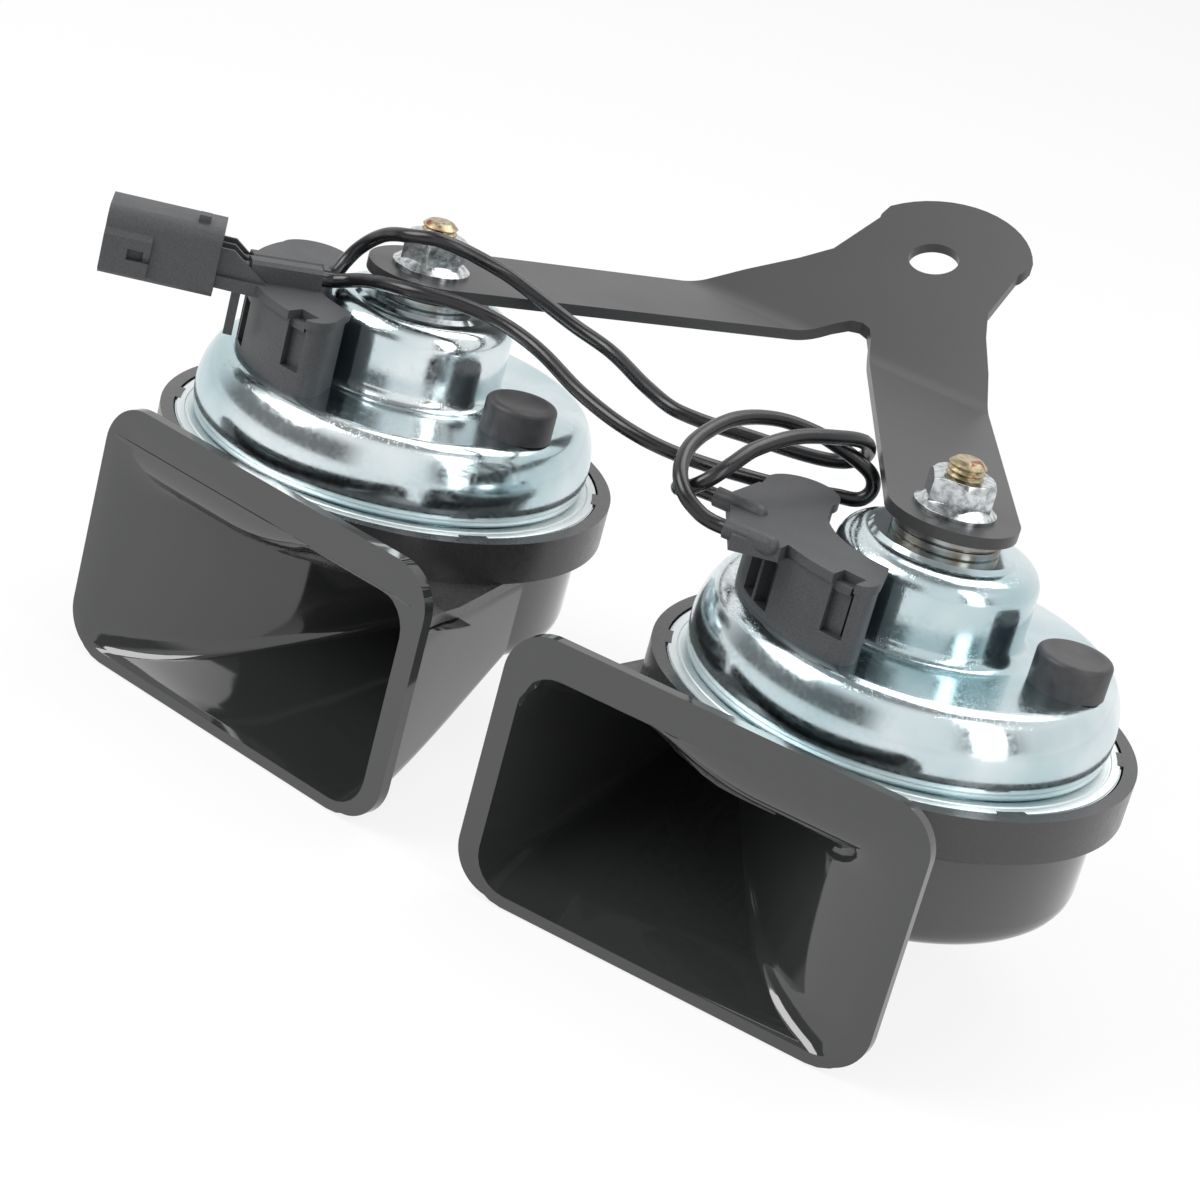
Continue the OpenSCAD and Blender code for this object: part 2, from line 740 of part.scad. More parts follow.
module pins() {
  for (y = [0.5, -0.5])
    translate([-conn_l + 3, conn_w / 2 + 5 * y - 0.6, conn_h / 3 - 0.4]) cube([conn_l - 6, 1.2, 0.8]);
}

module connector_pins() {
  color("#c9a55a") conn_frame() pins();
}

// Wires: smooth curves through points chosen by hand, swept with eight sides
function spline(p, i, t) = let (
    a = p[max(i - 1, 0)],
    b = p[i],
    c = p[i + 1],
    d = p[min(i + 2, len(p) - 1)]
  ) 0.5 * (2 * b + (c - a) * t + (2 * a - 5 * b + 4 * c - d) * t * t + (3 * b - a - 3 * c + d) * t * t * t);
function unit(v) = v / norm(v);
function ring_at(p, t) = let (
    n1 = unit(cross([0, 0, 1], t)),
    n2 = cross(t, n1)
  ) [for (k = [0 : 7]) p + wire_d / 2 * (cos(45 * k) * n1 + sin(45 * k) * n2)];
function along(c, i) = unit(c[min(i + 1, len(c) - 1)] - c[max(i - 1, 0)]);

module tube(pts) {
  n = len(pts);
  loft([for (i = [n - 1 : -1 : 0]) ring_at(pts[i], along(pts, i))]);
}

function turn(d, side) = [
    d.x * cos(splay) - side * d.y * sin(splay),
    side * d.x * sin(splay) + d.y * cos(splay)
  ];
function to_world(p, side) = [side * pitch / 2, 0] + turn(p, side);
low_wire_z = plug_top + 2.1;
function tip(p, side, d, away) = let (q = to_world(p, side) + away * turn(d, side)) [
    q.x, q.y, side < 0 ? low_wire_z : ridge_z
  ];
route_back = [
  tip(low_out1, -1, ridge_d, 0), tip(low_out1, -1, ridge_d, 1.5), [-83.9, -13, 37.8],
  [-83.4, -10.9, 40.1], [-82, -9.3, 43.2], [-78.8, -8.9, 46.7], [-74, -10.3, 49.8], [-67.5, -11.8, 52],
  [-60.5, -9, 53], [-51, 2, 48.5], [-43, 6, 45], [-34, 8, 42], [-23, 8, 40], [-8, 2, 38], [2, 0, 37],
  [18, 8, 36], [28, 13, 35.7], [34.2, 15.8, 36.6], [38.2, 16.4, 39.2], [39.9, 13.9, 42.2], [40.5, 9, 44.9],
  [39.3, 2, 46.3], [35.5, -11, 47], [33.5, -24, 45.5], [33, -31.5, 43], [31.6, -35.8, 40.2],
  [28.9, -37.2, 37.5], [25.9, -35.8, 35.6], [24.2, -32.4, 34.6], [25, -29.4, 34.3],
  tip(high_in1, 1, high_d1, -1.5), tip(high_in1, 1, high_d1, 0)
];
route_front = [
  tip(low_out2, -1, ridge_d, 0), tip(low_out2, -1, ridge_d, 1.5), [-80.3, -16.7, 37.3],
  [-77.2, -16, 38.4], [-72.5, -16.8, 40.2], [-66, -18.5, 42], [-59, -18.2, 43], [-50, -13.8, 43.2],
  [-41, -10, 42], [-30, -10, 40], [-14, -15, 37], [0, -17, 35], [11, -14, 33.5], [23.9, -1, 31],
  [32, 5, 31], [38.6, 8.6, 31.7], [42.4, 10.8, 32.8], [44.2, 11.9, 35.2], [43.4, 11.7, 37.6],
  [40.4, 10.2, 39.6], [36.2, 8.2, 41.8], [31.5, 4.6, 43.9], [26, -3, 45.8], [22.8, -14, 46.3],
  [22.5, -25, 45], [24, -34, 43], [27.3, -40.4, 40.4], [31.2, -42.9, 37.6], [35, -42.4, 35.3],
  [37.2, -41.6, 34.5], tip(high_in2, 1, high_d2, -1.5), tip(high_in2, 1, high_d2, 0)
];

// One more ring between points where they stand far apart
function smooth_route(p, from, to) = [
    for (i = [0 : len(p) - 2], k = [0 : 1]) if (k == 0 || (i >= from && i <= to)) spline(p, i, k / 2),
    p[len(p) - 1]
  ];

module wire_back() {
  color("#141415") place() tube(smooth_route(route_back, 6, 15));
}

module wire_front() {
  color("#141415") place() tube(smooth_route(route_front, 5, 13));
}

function conn_pt(x, y, z) = conn_at + [
    x * cos(conn_a) - y * sin(conn_a),
    x * sin(conn_a) + y * cos(conn_a),
    z
  ];
lead_y = tongue_y + 1 + rib_t / 2 + rib_gap / 2;
module lead(y, end) {
  z = low_wire_z - conn_at.z;
  tube([
    conn_pt(0, y, z), conn_pt(2, y, z), conn_pt(4.6, y, z),
    tip(end, -1, ridge_d, -0.8), tip(end, -1, ridge_d, 0)
  ]);
}

module lead_back() {
  color("#141415") place() lead(lead_y + rib_gap, low_in1);
}

module lead_front() {
  color("#141415") place() lead(lead_y, low_in2);
}

module low_base_ring() { horn(-1) base_ring(); }
module low_diaphragm() { horn(-1) diaphragm(); }
module low_armature() { horn(-1) armature(); }
module low_bobbin() { horn(-1) bobbin(); }
module low_coil() { horn(-1) coil(); }
module low_core_stud() { horn(-1) core_stud(); }
module low_contact_block() { horn(-1) contact_block(); }
module low_contact_blades() { horn(-1) contact_blades(); }
module low_cover() { horn(-1) cover(); }
module low_adjuster_screw() { horn(-1) adjuster_screw(); }
module low_adjuster_cap() { horn(-1) adjuster_cap(); }
module low_terminal_block() { horn(-1) terminal_block(); }
module low_terminal_blades() { horn(-1) terminal_blades(); }
module low_plug() {
  color("#2c2d2f") {
    horn(-1) low_plug_form();
    conn_frame() tongue();
  }
}

module low_washers() { horn(-1) washers(); }
module low_nut() { horn(-1) nut(); }
module high_base_ring() { horn(1) base_ring(); }
module high_diaphragm() { horn(1) diaphragm(); }
module high_armature() { horn(1) armature(); }
module high_bobbin() { horn(1) bobbin(); }
module high_coil() { horn(1) coil(); }
module high_core_stud() { horn(1) core_stud(); }
module high_contact_block() { horn(1) contact_block(); }
module high_contact_blades() { horn(1) contact_blades(); }
module high_cover() { horn(1) cover(); }
module high_adjuster_screw() { horn(1) adjuster_screw(); }
module high_adjuster_cap() { horn(1) adjuster_cap(); }
module high_terminal_block() { horn(1) terminal_block(); }
module high_terminal_blades() { horn(1) terminal_blades(); }
module high_plug() { color("#2c2d2f") horn(1) high_plug_form(); }
module high_washers() { horn(1) washers(); }
module high_nut() { horn(1) nut(); }

bracket();
low_trumpet_shell();
low_trumpet_lid();
low_base_ring();
low_diaphragm();
low_armature();
low_bobbin();
low_coil();
low_core_stud();
low_contact_block();
low_contact_blades();
low_cover();
low_adjuster_screw();
low_adjuster_cap();
low_terminal_block();
low_terminal_blades();
low_plug();
low_washers();
low_nut();
high_trumpet_shell();
high_trumpet_lid();
high_base_ring();
high_diaphragm();
high_armature();
high_bobbin();
high_coil();
high_core_stud();
high_contact_block();
high_contact_blades();
high_cover();
high_adjuster_screw();
high_adjuster_cap();
high_terminal_block();
high_terminal_blades();
high_plug();
high_washers();
high_nut();
connector();
connector_pins();
lead_front();
lead_back();
wire_front();
wire_back();
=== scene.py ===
"""A two-tone pair of snail horns on one bracket, dressed piece by piece over its solids."""

import json
import math

import bmesh
import bpy
from mathutils import Matrix, Vector


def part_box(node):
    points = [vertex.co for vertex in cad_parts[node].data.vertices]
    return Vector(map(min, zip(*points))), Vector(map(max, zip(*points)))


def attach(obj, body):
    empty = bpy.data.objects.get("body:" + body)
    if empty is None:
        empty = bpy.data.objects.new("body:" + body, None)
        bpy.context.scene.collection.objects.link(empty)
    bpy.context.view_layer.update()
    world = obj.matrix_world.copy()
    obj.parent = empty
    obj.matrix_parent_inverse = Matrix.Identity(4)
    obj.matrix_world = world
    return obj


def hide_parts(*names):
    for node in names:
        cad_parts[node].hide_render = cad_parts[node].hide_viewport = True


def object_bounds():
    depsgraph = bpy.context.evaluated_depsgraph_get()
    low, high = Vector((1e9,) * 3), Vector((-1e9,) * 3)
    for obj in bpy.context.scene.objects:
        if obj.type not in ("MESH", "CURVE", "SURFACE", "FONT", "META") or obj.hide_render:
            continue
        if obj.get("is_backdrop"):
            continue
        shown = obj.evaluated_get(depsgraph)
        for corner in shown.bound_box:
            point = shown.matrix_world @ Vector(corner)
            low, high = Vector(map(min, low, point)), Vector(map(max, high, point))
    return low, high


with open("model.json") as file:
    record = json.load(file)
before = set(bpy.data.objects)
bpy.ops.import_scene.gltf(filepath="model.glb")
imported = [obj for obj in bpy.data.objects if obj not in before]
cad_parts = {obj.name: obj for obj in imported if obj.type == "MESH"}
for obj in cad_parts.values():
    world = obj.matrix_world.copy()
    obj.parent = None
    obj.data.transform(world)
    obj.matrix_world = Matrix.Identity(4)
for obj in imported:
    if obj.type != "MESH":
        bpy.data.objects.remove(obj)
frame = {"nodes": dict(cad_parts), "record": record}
cad_low, cad_high = [[float(v) for v in corner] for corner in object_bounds()]
nodes = frame["nodes"]
scene = bpy.context.scene

# Camera: the photograph was taken from the front right of the mouths, a little above them,
# with the camera rolled so that the pair stands at a slant in the frame.
view_azimuth = math.radians(28.908)
view_height = math.radians(21.683)
view_roll = math.radians(15.291)
view_distance = 0.65261
aim = Vector((0.01158, -0.13504, -0.05590))

lens = bpy.data.cameras.new("camera")
lens.sensor_width = 36
lens.lens = 94.70
lens.clip_start = 0.01
lens.clip_end = 20
camera = bpy.data.objects.new("camera", lens)
scene.collection.objects.link(camera)
turned = (
    Matrix.Rotation(view_azimuth, 4, "Z")
    @ Matrix.Rotation(math.pi / 2 - view_height, 4, "X")
    @ Matrix.Rotation(view_roll, 4, "Z")
)
toward_camera = turned.to_3x3() @ Vector((0, 0, 1))
camera.matrix_world = Matrix.Translation(aim + view_distance * toward_camera) @ turned
scene.camera = camera
scene.view_settings.view_transform = "Standard"

# Studio: a white sweep under and behind the pair, in a tent of white cloth with dark gaps
# between its sheets, which give the metal its bands. One large soft box stands high on the
# left, a strip on the right for the edge of the metal, and one hangs overhead.
floor_gap = 0.0005
room_grey = 0.42
paper_glow = 0.86
tent_turn = math.radians(151.1)
# Each sheet's edge, in degrees round the pair from its front right, and how light it is there
sheets = [
    (-180, 1.0), (-122, 0.95), (-98, 0.22), (-20, 0.18), (-7, 1.0), (28, 1.0), (38, 0.16),
    (60, 0.16), (72, 0.9), (150, 1.0), (180, 1.0),
]
# How light the tent is above the sheets, by the sine of the height
roof = [(0.4, 0.95), (0.6, 1.0), (0.8, 0.85), (0.92, 0.33), (1.0, 0.33)]
# The sines of the height over which the sweep goes over into the sheets, and they into the roof
sheets_begin, roof_begins = (0.02, 0.07), (0.42, 0.6)


def linear(colour):
    """The linear colour, with its alpha, of an sRGB hex value."""
    parts = [int(colour[i : i + 2], 16) / 255 for i in (1, 3, 5)]
    return [v / 12.92 if v <= 0.04045 else ((v + 0.055) / 1.055) ** 2.4 for v in parts] + [1]


def set_inputs(tree, node, inputs):
    """Gives each input its value, or links it to another node's output."""
    for name, value in inputs.items():
        if isinstance(value, bpy.types.NodeSocket):
            tree.links.new(value, node.inputs[name])
        else:
            node.inputs[name].default_value = value


def add_node(tree, kind, inputs=None, **settings):
    """A node with its settings and its inputs."""
    made = tree.nodes.new(kind)
    for name, value in settings.items():
        setattr(made, name, value)
    set_inputs(tree, made, inputs or {})
    return made


def combine(tree, operation, first, second):
    """Two values, combined by a Math node."""
    return add_node(tree, "ShaderNodeMath", {0: first, 1: second}, operation=operation).outputs[0]


def spread(tree, value, low, high, start=0, stop=1):
    """A value that goes from low to high while the given one goes from start to stop."""
    ends = {"From Min": start, "From Max": stop, "To Min": low, "To Max": high}
    return add_node(tree, "ShaderNodeMapRange", {"Value": value, **ends}).outputs[0]


def ramp(tree, value, stops):
    """A ramp through the stops: a position from 0 to 1 and a colour or a grey at each."""
    made = add_node(tree, "ShaderNodeValToRGB", {0: value})
    elements = made.color_ramp.elements
    while len(elements) < len(stops):
        elements.new(1)
    for element, (position, shade) in zip(elements, stops):
        element.position = position
        element.color = linear(shade) if isinstance(shade, str) else (shade, shade, shade, 1)
    return made.outputs[0]


def background_rays(tree):
    """One for the rays that show the background: from the camera, a gloss or a clear body."""
    rays = add_node(tree, "ShaderNodeLightPath").outputs
    direct = combine(tree, "MAXIMUM", rays["Is Camera Ray"], rays["Is Glossy Ray"])
    return combine(tree, "MAXIMUM", direct, rays["Is Transmission Ray"])


world = bpy.data.worlds.new("studio")
scene.world = world
world.use_nodes = True
tree = world.node_tree
tree.nodes.clear()
direction = add_node(tree, "ShaderNodeTexCoord").outputs["Generated"]
faced = add_node(
    tree, "ShaderNodeMapping", {"Vector": direction, "Rotation": (0, 0, tent_turn)}
)
axes = add_node(tree, "ShaderNodeSeparateXYZ", {0: faced.outputs[0]}).outputs
around = combine(tree, "ARCTAN2", axes["X"], axes["Y"])
share_round = spread(tree, around, 0, 1, math.pi, -math.pi)
sides = ramp(tree, share_round, [(0.5 + degrees / 360, light) for degrees, light in sheets])
above = ramp(tree, axes["Z"], roof)
below = spread(tree, axes["Z"], 1, sides, *sheets_begin)
tent = spread(tree, axes["Z"], below, above, *roof_begins)
strength = spread(tree, background_rays(tree), room_grey, tent)
cloth = add_node(
    tree, "ShaderNodeBackground", {"Color": linear("#ffffff"), "Strength": strength}
)
add_node(tree, "ShaderNodeOutputWorld", {"Surface": cloth.outputs[0]})

bm = bmesh.new()
bmesh.ops.create_grid(bm, x_segments=1, y_segments=1, size=3)
bmesh.ops.translate(bm, verts=bm.verts, vec=(0, 0, cad_low[2] - floor_gap))
floor_mesh = bpy.data.meshes.new("floor")
bm.to_mesh(floor_mesh)
bm.free()
floor = bpy.data.objects.new("floor", floor_mesh)
scene.collection.objects.link(floor)
floor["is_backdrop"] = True
paper = bpy.data.materials.new("white_paper_sweep")
paper.use_nodes = True
tree = paper.node_tree
tree.nodes.clear()
matt = add_node(tree, "ShaderNodeBsdfDiffuse", {"Color": linear("#f4f4f4")})
lit = add_node(tree, "ShaderNodeEmission", {"Color": linear("#ffffff"), "Strength": 1.0})
share = combine(tree, "MULTIPLY", background_rays(tree), paper_glow)
both = add_node(
    tree, "ShaderNodeMixShader", {0: share, 1: matt.outputs[0], 2: lit.outputs[0]}
)
add_node(tree, "ShaderNodeOutputMaterial", {"Surface": both.outputs[0]})
floor.data.materials.append(paper)


def soft_box(name, place, size, watts, tall=None):
    """A soft box at that place, facing the pair."""
    lamp = bpy.data.lights.new(name, "AREA")
    lamp.shape = "RECTANGLE"
    lamp.size = size
    lamp.size_y = tall or size
    lamp.energy = watts
    stand = bpy.data.objects.new(name, lamp)
    scene.collection.objects.link(stand)
    stand.location = place
    stand.rotation_euler = (Vector(place) - aim).to_track_quat("Z", "Y").to_euler()


soft_box("left_box", (-0.55, -0.75, 0.75), size=0.7, watts=9)
soft_box("right_strip", (0.85, -0.30, 0.35), size=0.25, watts=3, tall=0.9)
soft_box("top_box", (0.05, 0.35, 0.95), size=0.8, watts=6)

# Wires: two lengths of black PVC-sheathed cable from the low horn's plug to the high horn's,
# which run over the horns and turn back in loops before they enter the second plug.
stud_low, stud_high = [sum(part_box(name), Vector()) / 2 for name in ("low_nut", "high_nut")]
rim_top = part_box("low_trumpet_lid")[1].z
middle = Vector(((stud_low.x + stud_high.x) / 2, (stud_low.y + stud_high.y) / 2, rim_top))
wire_across = 3.2
wire_back_points = [
    (-85.7, -15.8, 36.9), (-84.5, -14.1, 36.8), (-83.8, -12.8, 37.5), (-83.5, -10.7, 39.9),
    (-82, -9.3, 43.2), (-78.8, -8.9, 46.7), (-74, -10.3, 49.8), (-67.5, -11.8, 52),
    (-60.5, -9, 53), (-51, 2, 48.5), (-43, 6, 45), (-34, 8, 42), (-23, 8, 40), (-8, 2, 38),
    (2, 0, 37), (18, 8, 36), (28, 13, 35.7), (34.2, 15.8, 36.6), (38.2, 16.4, 39.2),
    (39.9, 13.9, 42.2), (40.5, 9, 44.9), (39.3, 2, 46.3), (35.5, -11, 47), (33.5, -24, 45.5),
    (33, -31.5, 43), (31.6, -35.8, 40.2), (28.9, -37.2, 37.5), (25.9, -35.8, 35.6),
    (23.8, -32.5, 34.7), (25, -29.2, 34.4), (28.5, -28, 34.3), (30, -27.8, 34.3),
]
wire_front_points = [
    (-83, -19.3, 36.9), (-81.8, -18, 36.9), (-80.4, -17, 37.2), (-77.2, -16, 38.4),
    (-72.5, -16.8, 40.2), (-66, -18.5, 42), (-59, -18.2, 43), (-50, -13.8, 43.2),
    (-41, -10, 42), (-30, -10, 40), (-14, -15, 37), (0, -17, 35), (11, -14, 33.5),
    (23.9, -1, 31), (32, 5, 31), (38.6, 8.6, 31.7), (42.6, 10.7, 32.3), (44.2, 11.9, 34.7),
    (43.5, 11.7, 37.7), (40.4, 10.6, 39.8), (36.2, 8.2, 41.8), (31.5, 4.6, 43.9),
    (26, -3, 45.8), (22.8, -14, 46.3), (22.5, -25, 45), (24, -34, 43), (27.3, -40.4, 40.4),
    (31.2, -42.9, 37.6), (35, -42.4, 35.3), (37.2, -41.6, 34.5), (39.1, -41.1, 34.3),
    (40.6, -40.9, 34.3),
]


def spot(x, y, z):
    """A point of the stud line's frame, in millimetres, in the frame of the solids."""
    return middle + Vector((x, y, z)) / 1000


def new_material(name):
    """An empty material: its tree, its shader and the Object coordinates."""
    made = bpy.data.materials.new(name)
    made.use_nodes = True
    tree = made.node_tree
    tree.nodes.clear()
    shader = add_node(tree, "ShaderNodeBsdfPrincipled")
    add_node(tree, "ShaderNodeOutputMaterial", {"Surface": shader.outputs[0]})
    return made, tree, shader, add_node(tree, "ShaderNodeTexCoord").outputs["Object"]


def noise(tree, where, size, detail=2):
    """Cloudy noise in patches of so many mm."""
    return add_node(
        tree, "ShaderNodeTexNoise", {"Vector": where, "Scale": 1000 / size, "Detail": detail}
    ).outputs[0]


def bump(tree, height, strength, depth):
    """A relief that follows the height, so many mm deep."""
    return add_node(
        tree,
        "ShaderNodeBump",
        {"Height": height, "Strength": strength, "Distance": depth / 1000},
    ).outputs[0]


pvc, tree, shader, where = new_material("extruded_black_pvc")
# Plasticised PVC, extruded: smooth and glossy, with a faint unevenness that breaks the highlight
uneven = noise(tree, where, 3.85)
set_inputs(tree, shader, {
    "Base Color": linear("#17171a"),
    "IOR": 1.52,
    "Roughness": spread(tree, uneven, 0.2, 0.34),
    "Normal": bump(tree, uneven, 0.25, 0.2),
})


def wire(name, node, points):
    """One wire: a round curve through the points, smooth where it bends."""
    path = bpy.data.curves.new(name, "CURVE")
    path.dimensions = "3D"
    path.resolution_u = 8
    path.render_resolution_u = 8
    path.bevel_depth = wire_across / 2000
    path.bevel_resolution = 5
    path.use_fill_caps = True
    line = path.splines.new("BEZIER")
    line.bezier_points.add(len(points) - 1)
    spots = [spot(*p) for p in points]
    for i, point in enumerate(line.bezier_points):
        before = spots[max(i - 1, 0)]
        after = spots[min(i + 1, len(spots) - 1)]
        along = (after - before).normalized()
        point.co = spots[i]
        point.handle_left = spots[i] - along * (spots[i] - before).length / 3
        point.handle_right = spots[i] + along * (after - spots[i]).length / 3
    made = bpy.data.objects.new(name, path)
    scene.collection.objects.link(made)
    path.materials.append(pvc)
    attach(made, "root")
    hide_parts(node)


wire("back_cable", "wire_back", wire_back_points)
wire("front_cable", "wire_front", wire_front_points)
for name in ("lead_back", "lead_front"):
    nodes[name].material_slots[0].material = pvc

# Bracket: one blank of 2.5 mm steel sheet, pressed to a bend across both arms, its edges
# rounded by the press and by the black e-coat that covers it all over.
blank_edge = 0.7
splay = math.radians(4.86)

e_coat, tree, shader, where = new_material("e_coated_steel_sheet")
# Baked e-coat: satin black, faintly cloudy, with a fine orange peel about 1 mm across
set_inputs(tree, shader, {
    "Base Color": linear("#333334"),
    "IOR": 1.5,
    "Roughness": spread(tree, noise(tree, where, 22.2, 3), 0.28, 0.42),
    "Normal": bump(tree, noise(tree, where, 1, 1), 0.2, 0.06),
})


def settle(bm, name, finish, slot, *stands_for, crease=32):
    """Makes a bmesh a piece that is smooth up to its creases, rides along and has its finish."""
    for face in bm.faces:
        face.smooth = True
        face.material_index = 0
    for edge in bm.edges:
        edge.smooth = len(edge.link_faces) == 2 and edge.calc_face_angle(0) < math.radians(crease)
    mesh = bpy.data.meshes.new(name)
    bm.to_mesh(mesh)
    bm.free()
    mesh.materials.append(finish)
    made = bpy.data.objects.new(name, mesh)
    scene.collection.objects.link(made)
    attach(made, "root")
    if stands_for:
        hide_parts(*stands_for)
    return made


def horn_place(side):
    """Where a horn stands: its axis, at the height of the rim's top, and its outward turn."""
    stud, turn = (stud_low, -splay) if side == "low" else (stud_high, splay)
    return Matrix.Translation((stud.x, stud.y, rim_top)) @ Matrix.Rotation(turn, 4, "Z")


def eased(node, name, edge, finish, slot, crease=40, shaped=None):
    """A copy of a solid, shaped further in its horn's frame, its edges rounded by so many mm."""
    bm = bmesh.new()
    bm.from_mesh(nodes[node].data)
    bmesh.ops.remove_doubles(bm, verts=bm.verts, dist=2e-6)
    if shaped:
        side = node.split("_")[0]
        bmesh.ops.transform(bm, matrix=horn_place(side).inverted(), verts=bm.verts)
        shaped(bm, side)
        bmesh.ops.transform(bm, matrix=horn_place(side), verts=bm.verts)
    bmesh.ops.dissolve_limit(bm, angle_limit=math.radians(0.4), verts=bm.verts, edges=bm.edges)
    rounding = settle(bm, name, finish, slot, node).modifiers.new("rounded_edges", "BEVEL")
    rounding.width = edge / 1000
    rounding.segments = 3
    rounding.limit_method = "ANGLE"
    rounding.angle_limit = math.radians(crease)
    rounding.harden_normals = True
    rounding.use_clamp_overlap = True


eased("bracket", "bracket_plate", blank_edge, e_coat, "bracket")

# Trumpets: the spiral channel and the flared mouth of each horn are one moulding of gloss
# black ABS, thin at the lip, and its tool's polish shows in the clear-cut reflections.
lip_edge, lip_front = 0.5, 54
# The roof rises behind the lip to its crest and comes down again further in
roof_rise, crest, roof_end = 6.4, 3.4, 19
# It is open beside the spiral's wall and closes on the way to the flare's middle
open_until, closed_from, wall_width = -28.5, -3, 8.5
shell_wall, sheet_wall = -60.5, -59.5
# Where the lift sets in: outside the rim, over the floor and under the lid's top
rim_clear, floor_clear, top_clear = (50.5, 54), (-19, -12.6), (1, -4)
cuts_across = [-55, -52, -48, -43, -38, -33, -29, -26, -23, -20, -17, -13, -9, -4]
cuts_along = [-52.4, -50.9, -48, -46, -43.5, -41, -38.5]

gloss_abs, tree, shader, where = new_material("polished_moulded_abs")
# ABS from a polished tool: deep black and glossy, with slow sink marks about 15 mm across
set_inputs(tree, shader, {
    "Base Color": linear("#2d2e2e"),
    "IOR": 1.54,
    "Specular IOR Level": 0.85,
    "Roughness": spread(tree, noise(tree, where, 16.7, 3), 0.03, 0.08),
    "Normal": bump(tree, noise(tree, where, 15.4, 0), 0.1, 0.4),
})

satin_abs, tree, shader, where = new_material("moulded_abs_lid")
# The lid's tool is less polished: softer reflections and a fine flow pattern of about 2 mm
set_inputs(tree, shader, {
    "Base Color": linear("#39393a"),
    "IOR": 1.54,
    "Roughness": spread(tree, noise(tree, where, 2), 0.2, 0.36),
})


def within(value, start, stop):
    """How far a value is from start to stop, kept from 0 to 1."""
    return min(max((value - start) / (stop - start), 0), 1)


def opening(x, wall):
    """How far the roof is open at x: all the way near the spiral's wall, not past the middle."""
    return (1 - within(x, open_until, closed_from)) ** 2 * within(x, wall, wall + wall_width)


def open_roof(bm, side):
    """Lifts the flare's roof towards the lip on the spiral's side, as the moulding opens."""
    hand = -1 if side == "low" else 1
    cuts = [((hand * x, 0, 0), (1, 0, 0)) for x in cuts_across]
    cuts += [((0, y, 0), (0, 1, 0)) for y in cuts_along]
    for place, across in cuts:
        bmesh.ops.bisect_plane(
            bm, geom=bm.verts[:] + bm.edges[:] + bm.faces[:], plane_co=Vector(place) / 1000,
            plane_no=across,
        )
    for vert in bm.verts:
        x, y, z = hand * vert.co.x * 1000, vert.co.y * 1000, vert.co.z * 1000
        deep = y + lip_front
        lift = roof_rise * (1 - (1 - within(deep, 0, crest)) ** 2)
        lift *= 1 - within(deep, crest, roof_end)
        lift *= opening(x, shell_wall)
        lift *= within(math.hypot(x, y), *rim_clear)
        lift *= within(z, *floor_clear) * within(z, *top_clear)
        vert.co.z += lift / 1000


for side in ("low", "high"):
    for part, finish, slot in (("shell", gloss_abs, "trumpet"), ("lid", satin_abs, "trumpet_lid")):
        name = side + ("_trumpet" if part == "shell" else "_lid")
        eased(f"{side}_trumpet_{part}", name, lip_edge, finish, slot, shaped=open_roof)

# Flare roofs: the part of each trumpet's moulding that opens over the flare's step, as one
# smooth skin of the same gloss ABS from the lip inwards, tucked up into the lip at its front.
roof_deep, flare_deep = 22, 52
skin_out, skin_thick, set_back, tuck = -58.2, 0.3, 0.15, 0.5
skin_columns, skin_rows, rows_crowd = 56, 24, 1.6
opened_top, opened_slope = -4.25, 0.43


def flare_wall(t):
    """The solid flare's wall away from the spiral, from the throat at 0 to the lip at 1."""
    return 31.5 - 56 * (1 - 0.55 * t - 0.22 * t**2 - 0.23 * t**9)


def flare_roof(t):
    """The solid flare's roof, which steps up just before the lip."""
    return -12.35 + 8 * t**30


for side in ("low", "high"):
    hand = -1 if side == "low" else 1
    bm = bmesh.new()
    bmesh.ops.create_grid(bm, x_segments=skin_columns, y_segments=skin_rows, size=1)
    for vert in bm.verts:
        deep = roof_deep * ((vert.co.y + 1) / 2) ** rows_crowd
        t = min((flare_deep - deep) / flare_deep, 1)
        x = skin_out + (flare_wall(t) - skin_out) * (vert.co.x + 1) / 2
        stepped = flare_roof(t)
        opened = max(opened_top - opened_slope * deep, stepped)
        z = stepped + (opened - stepped) * opening(x, sheet_wall)
        z += tuck * (1 - within(deep, 0, tuck))
        vert.co = Vector((hand * x, deep - lip_front + set_back, z)) / 1000
    bmesh.ops.recalc_face_normals(bm, faces=bm.faces)
    bmesh.ops.solidify(
        bm, geom=bm.verts[:] + bm.edges[:] + bm.faces[:], thickness=skin_thick / 1000
    )
    bmesh.ops.recalc_face_normals(bm, faces=bm.faces)
    bmesh.ops.transform(bm, matrix=horn_place(side), verts=bm.verts)
    settle(bm, side + "_flare_roof", gloss_abs, "trumpet", crease=60)

# Covers: deep-drawn steel, plated with bright zinc: a flange under the rim's hooks, a bulging
# side, a flat shoulder, and the cup that holds the coil, with a raised seat for the bracket.
flange_out, flange_top, foot = 48.6, -0.4, 43.1
shoulder_top, cup_out, cup_top = 17.4, 21.5, 36.5
seat_out, seat_up, stud_hole = 15, 0.9, 4.25
skin = 1.2

zinc, tree, shader, where = new_material("bright_zinc_plated_sheet")
